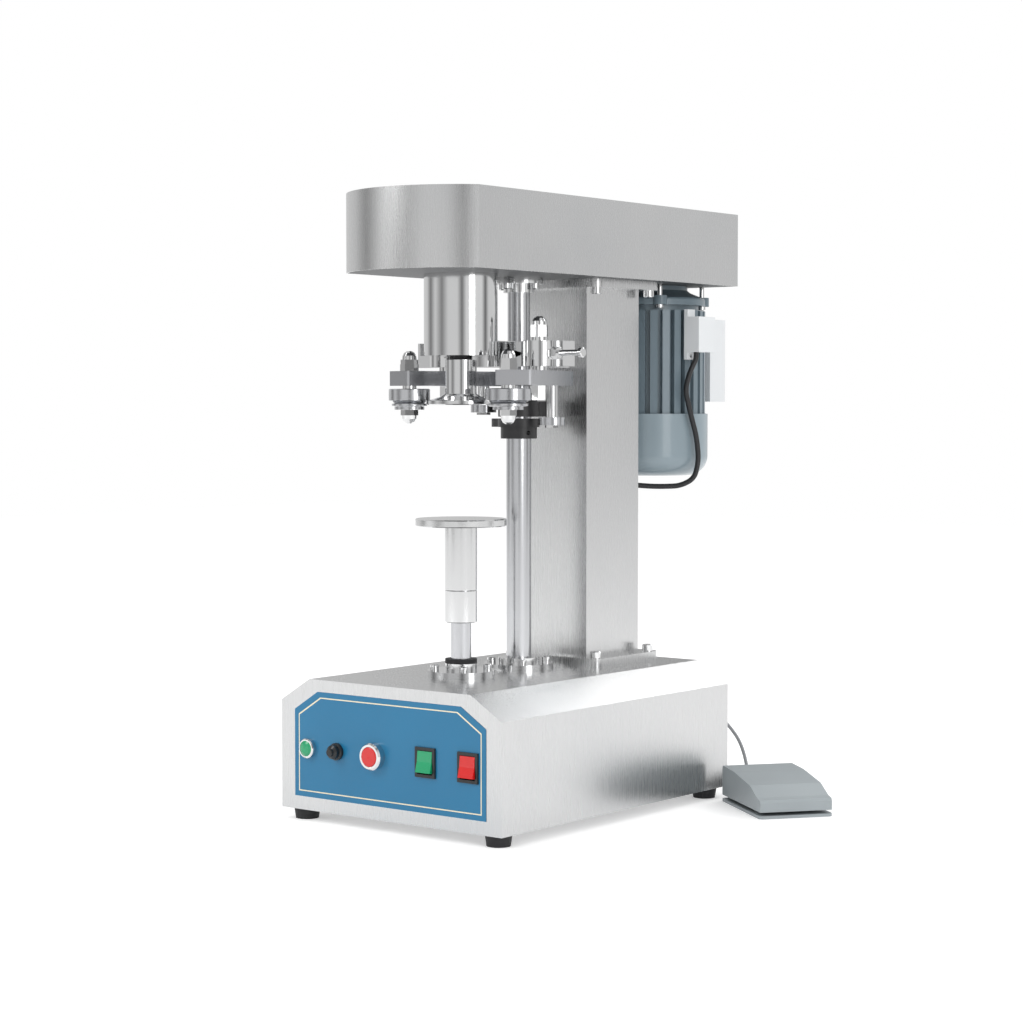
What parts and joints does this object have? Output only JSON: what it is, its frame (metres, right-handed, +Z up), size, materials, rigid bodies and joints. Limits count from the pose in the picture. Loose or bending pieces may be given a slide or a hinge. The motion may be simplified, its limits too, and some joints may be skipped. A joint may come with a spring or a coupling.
{
  "type": "can seamer",
  "caption": "Bench-top can seaming machine with a belt-driven chuck, cam-worked seaming levers, a rising can plate, a bevelled cabinet and a foot switch.",
  "frame": {"origin": "middle of the machine's footprint box on the bench, at the undersides of its feet, the foot switch left out", "axes": "+X to the operator's right, +Y to the back, +Z up; the control panel faces -Y"},
  "size_m": [0.483, 0.6178, 0.7],
  "materials": {
    "stainless": "fine brushed stainless sheet",
    "bed_steel": "dark primer on steel plate",
    "black_rubber": "moulded rubber",
    "white_plastic": "moulded white plastic",
    "grey_plastic": "moulded grey plastic",
    "polished_steel": "bright plated steel",
    "machined_steel": "turned and ground steel",
    "black_steel": "black oxide on steel",
    "motor_grey": "blue-grey enamel on cast aluminium",
    "cowl_grey": "light blue-grey enamel on pressed steel",
    "black_plastic": "moulded plastic",
    "chrome": "chrome plating",
    "green_lens": "clear green plastic",
    "red_plastic": "glossy red plastic",
    "green_plastic": "glossy green plastic",
    "belt_rubber": "rubber and canvas",
    "cord_grey": "grey PVC sheath",
    "lead_black": "black PVC sheath",
    "cast_iron": "turned cast iron"
  },
  "bodies": {
    "frame": {"base_shell": "stainless", "front_panel": "stainless", "bottom_tray": "stainless", "bed_plate": "bed_steel", "rubber_feet": "black_rubber", "column": "stainless", "cap_screws": "polished_steel", "top_plate": "bed_steel", "belt_guard": "stainless", "spindle_housing": "polished_steel", "spindle_bearings": "machined_steel", "shaft_seals": "black_rubber", "head_bracket": "polished_steel", "lever_pivots": "polished_steel", "adjusting_screw": "polished_steel", "camshaft_bearings": "polished_steel", "lift_guide": "polished_steel", "motor_frame": "motor_grey", "motor_end_shield": "motor_grey", "fan_cowl": "cowl_grey", "capacitor_box": "white_plastic", "terminal_block": "white_plastic", "motor_lead": "lead_black", "v_belt": "belt_rubber", "lift_gearmotor": "bed_steel", "control_bezels": "chrome", "lamp_lens": "green_lens", "fuse_holder": "black_plastic", "switch_frames": "black_plastic", "pedal_base": "grey_plastic", "pedal_relief": "black_rubber", "pedal_cord": "cord_grey", "pedal_cord_coil": "cord_grey", "cable_glands": "black_plastic"},
    "spindle": {"spindle_shaft": "machined_steel", "seaming_chuck": "polished_steel", "driven_pulley": "cast_iron"},
    "rotor": {"motor_rotor": "machined_steel", "drive_pulley": "cast_iron"},
    "cam_assembly": {"camshaft": "machined_steel", "seaming_cams": "black_steel", "lift_cam": "machined_steel"},
    "crank": {"lift_crank": "machined_steel"},
    "lift_ram": {"lift_shaft": "machined_steel"},
    "height_sleeve": {"height_tube": "polished_steel", "lock_collar": "polished_steel"},
    "can_plate": {"lift_plate": "polished_steel"},
    "first_arm": {"first_lever": "polished_steel", "first_lever_pins": "polished_steel"},
    "first_seam_roller": {"first_roller": "machined_steel"},
    "first_cam_roller": {"first_follower": "machined_steel"},
    "second_arm": {"second_lever": "polished_steel", "second_lever_pins": "polished_steel"},
    "second_seam_roller": {"second_roller": "machined_steel"},
    "second_cam_roller": {"second_follower": "machined_steel"},
    "button": {"start_button": "red_plastic"},
    "rocker_green": {"green_rocker": "green_plastic"},
    "rocker_red": {"red_rocker": "red_plastic"},
    "fuse_knob": {"fuse_cap": "black_plastic"},
    "tread": {"pedal_tread": "grey_plastic"}
  },
  "joints": [
    {"name": "motor_spin", "type": "hinge", "parent": "frame", "child": "rotor", "pos_m": [0, 0.2021, 0.656], "axis": [0, 0, 1], "continuous": true},
    {"name": "spindle_spin", "type": "hinge", "parent": "frame", "child": "spindle", "pos_m": [0, -0.1683, 0.6], "axis": [0, 0, 1], "continuous": true},
    {"name": "camshaft_turn", "type": "hinge", "parent": "frame", "child": "cam_assembly", "pos_m": [0, -0.0629, 0.4], "axis": [0, 0, -1], "range_deg": [0, 120]},
    {"name": "crank_rock", "type": "hinge", "parent": "frame", "child": "crank", "pos_m": [0, -0.1079, 0.112], "axis": [-1, 0, 0], "range_deg": [0, 33.2]},
    {"name": "lift_slide", "type": "slide", "parent": "frame", "child": "lift_ram", "axis": [0, 0, 1], "range_m": [0, 0.0345]},
    {"name": "height_adjust", "type": "slide", "parent": "lift_ram", "child": "height_sleeve", "axis": [0, 0, 1], "range_m": [-0.03, 0.03]},
    {"name": "can_plate_spin", "type": "hinge", "parent": "height_sleeve", "child": "can_plate", "pos_m": [0, -0.1683, 0.334], "axis": [0, 0, 1], "continuous": true},
    {"name": "first_lever_swing", "type": "hinge", "parent": "frame", "child": "first_arm", "pos_m": [0.0674, -0.1119, 0.496], "axis": [0, 0, -1], "range_deg": [0, 6.5], "stiffness_Nm_per_rad": 2, "springref_deg": -5.73},
    {"name": "first_roller_spin", "type": "hinge", "parent": "first_arm", "child": "first_seam_roller", "pos_m": [0.07168, -0.17328, 0.472], "axis": [0, 0, 1], "continuous": true},
    {"name": "first_follower_spin", "type": "hinge", "parent": "first_arm", "child": "first_cam_roller", "pos_m": [0.04995, -0.06595, 0.447], "axis": [0, 0, 1], "continuous": true},
    {"name": "second_lever_swing", "type": "hinge", "parent": "frame", "child": "second_arm", "pos_m": [-0.0674, -0.1119, 0.496], "axis": [0, 0, 1], "range_deg": [0, 8], "stiffness_Nm_per_rad": 2, "springref_deg": -5.73},
    {"name": "second_roller_spin", "type": "hinge", "parent": "second_arm", "child": "second_seam_roller", "pos_m": [-0.07168, -0.17328, 0.472], "axis": [0, 0, 1], "continuous": true},
    {"name": "second_follower_spin", "type": "hinge", "parent": "second_arm", "child": "second_cam_roller", "pos_m": [-0.04995, -0.06595, 0.461], "axis": [0, 0, 1], "continuous": true},
    {"name": "start_push", "type": "slide", "parent": "frame", "child": "button", "axis": [0, 1, 0], "range_m": [0, 0.0035], "stiffness_N_per_m": 600, "springref_m": -0.002},
    {"name": "green_rocker_tilt", "type": "hinge", "parent": "frame", "child": "rocker_green", "pos_m": [0.0548, -0.29395, 0.083], "axis": [1, 0, 0], "range_deg": [0, 20]},
    {"name": "red_rocker_tilt", "type": "hinge", "parent": "frame", "child": "rocker_red", "pos_m": [0.1138, -0.29395, 0.083], "axis": [1, 0, 0], "range_deg": [0, 20]},
    {"name": "fuse_cap_turn", "type": "hinge", "parent": "frame", "child": "fuse_knob", "pos_m": [-0.074, -0.3019, 0.083], "axis": [0, -1, 0], "range_deg": [0, 45]},
    {"name": "pedal_press", "type": "hinge", "parent": "frame", "child": "tread", "pos_m": [0.2028, 0.13795, 0.0114], "axis": [0.6115, 0.7912, 0], "range_deg": [0, 1.6], "stiffness_Nm_per_rad": 60, "springref_deg": -1.72}
  ],
  "couplings": [
    {"joint": "spindle_spin", "follows": "motor_spin", "ratio": 0.37443},
    {"joint": "crank_rock", "follows": "camshaft_turn", "ratio": 0.27664},
    {"joint": "lift_slide", "follows": "camshaft_turn", "m_per_rad": 0.016471}
  ]
}
